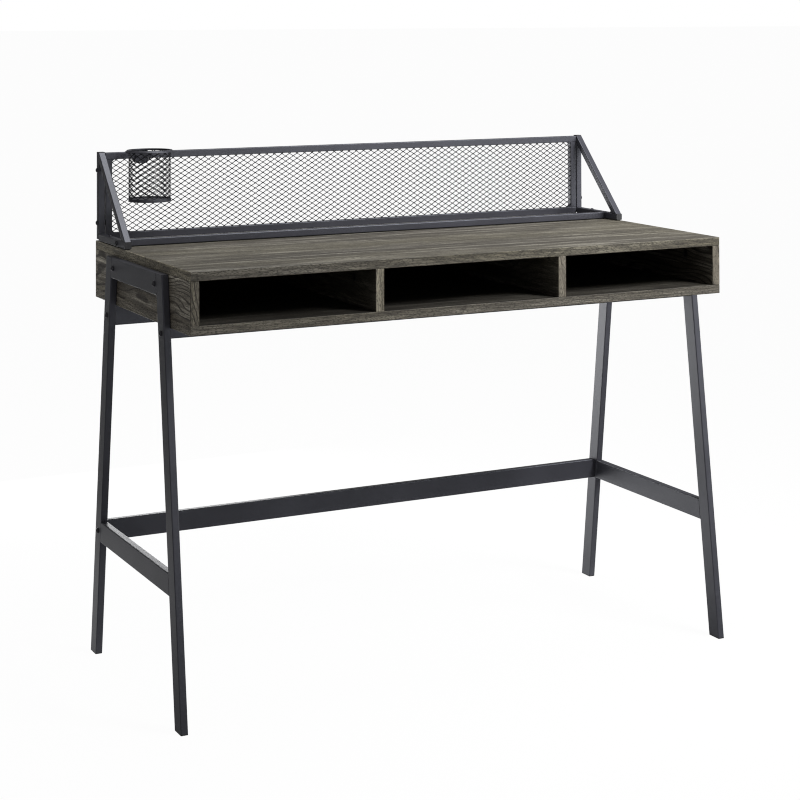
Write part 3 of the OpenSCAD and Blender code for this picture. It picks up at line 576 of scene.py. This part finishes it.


# ---------- finish ----------

# Each board's grain axis, the axis across it, the axis that its large faces look along, its place in the
# print, the painted light and shade on its faces, long edges and ends (factors that lighten or darken each
# kind of face as the light falls on it), and the strength of its cathedral figure
WOOD = {
    "desk_top": dict(
        grain=X, across=Y, flat=Z, seed=2.3,
        painted_face_light=1.14, painted_edge_light=1.35, painted_end_light=3.6, figure=0.35,
    ),
    # painted shade: the bottom panel's large faces, which floor the cubbies, are darkened
    "bottom_panel": dict(
        grain=X, across=Y, flat=Z, seed=11.9,
        painted_face_light=0.42, painted_edge_light=1.35, painted_end_light=3.2, figure=0.35,
    ),
    "back_panel": dict(
        grain=X, across=Z, flat=Y, seed=5.1,
        painted_face_light=1.0, painted_edge_light=1.0, painted_end_light=1.0, figure=0.40,
    ),
    "left_side_panel": dict(
        grain=Y, across=Z, flat=X, seed=7.7,
        painted_face_light=3.2, painted_edge_light=3.2, painted_end_light=1.8, figure=0.95,
    ),
    "right_side_panel": dict(
        grain=Y, across=Z, flat=X, seed=19.2,
        painted_face_light=1.5, painted_edge_light=1.5, painted_end_light=2.5, figure=0.95,
    ),
    "left_divider": dict(
        grain=Y, across=Z, flat=X, seed=23.4,
        painted_face_light=1.2, painted_edge_light=1.2, painted_end_light=2.9, figure=0.40,
    ),
    "right_divider": dict(
        grain=Y, across=Z, flat=X, seed=31.8,
        painted_face_light=1.2, painted_edge_light=1.2, painted_end_light=3.5, figure=0.40,
    ),
}
ZINC = [
    "rail_end_plugs", "threaded_inserts", "rail_screws", "cam_studs", "bottom_screws",
    "hutch_cross_rail_plugs", "hutch_panel_rivet_nuts",
]
BOLTS = [
    "top_rail_bolts", "under_rail_bolts", "stretcher_bolts", "hutch_cross_rail_bolts",
    "hutch_panel_bolts", "hutch_fixing_screws", "cam_locks",
]
PLASTIC = ["foot_glides", "hutch_end_caps", "hutch_foot_pads", "hutch_panel_spacers"]


def paint(target, material):
    """Gives a piece its material in every slot."""
    if not target.data.materials:
        target.data.materials.append(material)
    for place in target.material_slots:
        place.material = material


def paint_nodes(coat):
    """Gives every CAD node its material. The tubes and the cup's solid parts get the coat."""
    bolt, plastic, zinc, dowel = black_bolt(), moulded_plastic(), zinc_plate(), beech()
    for name, target in nodes.items():
        if name in WOOD:
            paint(target, laminate("laminate_" + name, **WOOD[name]))
        elif name in ZINC:
            paint(target, zinc)
        elif name in BOLTS:
            paint(target, bolt)
        elif name in PLASTIC:
            paint(target, plastic)
        elif name == "dowels":
            paint(target, dowel)
        else:
            paint(target, coat)


# ---------- studio ----------

def add_softbox(name, place, aim, width, height, radiance, spread=180):
    """A softbox at place that faces aim. The camera doesn't see it. Spread is its beam, in degrees."""
    data = bpy.data.lights.new(name, "AREA")
    data.shape = "RECTANGLE"
    data.size, data.size_y = width, height
    data.spread = math.radians(spread)
    data.energy = radiance * math.pi * width * height
    made = bpy.data.objects.new(name, data)
    made.location = place
    made.rotation_euler = (Vector(place) - Vector(aim)).to_track_quat("Z", "Y").to_euler()
    made.visible_camera = False
    bpy.context.scene.collection.objects.link(made)


def add_world(seen, reflected, cast):
    """White surroundings: how bright they look, how bright they reflect and how much they cast."""
    world = bpy.data.worlds.new("studio")
    world.use_nodes = True
    tree = world.node_tree
    background = tree.nodes["Background"]
    path = tree.nodes.new("ShaderNodeLightPath")
    # a Mix node of plain numbers has its share in input 0 and its two numbers in inputs 2 and 3
    glossy = tree.nodes.new("ShaderNodeMix")
    glossy.inputs[2].default_value = cast
    glossy.inputs[3].default_value = reflected
    tree.links.new(path.outputs["Is Glossy Ray"], glossy.inputs[0])
    camera = tree.nodes.new("ShaderNodeMix")
    camera.inputs[3].default_value = seen
    tree.links.new(path.outputs["Is Camera Ray"], camera.inputs[0])
    tree.links.new(glossy.outputs[0], camera.inputs[2])
    tree.links.new(camera.outputs[0], background.inputs["Strength"])
    background.inputs["Color"].default_value = WHITE
    bpy.context.scene.world = world


def add_floor():
    """One large square at z = 0, wide enough that its end can't be seen."""
    corners = [(-1, -1), (1, -1), (1, 1), (-1, 1)]
    made = mesh_object("floor", [(x * FLOOR_HALF, y * FLOOR_HALF, 0) for x, y in corners], [(0, 1, 2, 3)])
    made.data.materials.append(studio_floor())


def add_camera():
    """A long lens at eye height that keeps upright lines upright: the lens is shifted, not tilted down.

    The shift holds only while the camera turns by Euler angles, as it does here."""
    position = Vector((-1.650, -3.250, 1.185))
    heading, tilt, roll = math.radians(26.68), math.radians(1.09), math.radians(-0.16)
    lens, sensor, shift = 86.4, 36.0, -0.5265
    level = Vector((math.sin(heading), math.cos(heading), 0.0))
    forward = level * math.cos(tilt) + Vector((0.0, 0.0, math.sin(tilt)))
    right = Vector((math.cos(heading), -math.sin(heading), 0.0))
    up = right.cross(forward)
    turned_right = right * math.cos(roll) + up * math.sin(roll)
    turned_up = up * math.cos(roll) - right * math.sin(roll)
    data = bpy.data.cameras.new("camera")
    data.lens, data.sensor_width = lens, sensor
    data.clip_start, data.clip_end = 0.05, 400.0
    made = bpy.data.objects.new("camera", data)
    bpy.context.scene.collection.objects.link(made)
    made.rotation_mode = "XYZ"
    turn = Matrix((turned_right, turned_up, -forward)).transposed()
    made.matrix_world = Matrix.Translation(position) @ turn.to_4x4()
    curve = data.driver_add("shift_y")
    curve.driver.type = "SUM"
    mode = curve.driver.variables.new()
    mode.name = "euler"
    mode.targets[0].id = made
    mode.targets[0].data_path = "rotation_mode"
    # a new driver's curve carries a modifier of its own, which would change the shift
    for old in list(curve.modifiers):
        curve.modifiers.remove(old)
    scale = curve.modifiers.new("GENERATOR")
    scale.coefficients = (0.0, shift)
    bpy.context.scene.camera = made


coat = powder_coat("charcoal_powder_coat", rgb(44, 44, 49), 0.42, 0.55)
# painted shade: the panel's and the cup's strands get the frame's charcoal coat painted much darker
mesh_coat_painted_shade = powder_coat("mesh_powder_coat_painted_shade", rgb(20, 20, 23), 0.50, 0.25)
paint_nodes(coat)
paint(panel_mesh(), mesh_coat_painted_shade)
paint(cup_mesh(), mesh_coat_painted_shade)
paint(hanger_strap(), coat)

add_floor()
add_world(seen=1.0, reflected=0.24, cast=0.24)
add_softbox(
    "overhead", place=(0.05, 0.05, 2.40), aim=(0.05, 0.10, 0.0),
    width=1.2, height=1.0, radiance=4.1, spread=130,
)
add_softbox(
    "front_right", place=(1.30, -1.75, 2.45), aim=(0.70, -0.20, 0.75),
    width=1.0, height=1.0, radiance=6.8, spread=70,
)
add_softbox(
    "rear_sweep", place=(-0.10, 1.60, 0.39), aim=(-0.10, 0.0, 0.39),
    width=1.04, height=0.76, radiance=5.1,
)
add_camera()
bpy.context.scene.view_settings.view_transform = "Standard"
bpy.context.scene.cycles.filter_width = 1.1   # a crisp lens, for the fine mesh
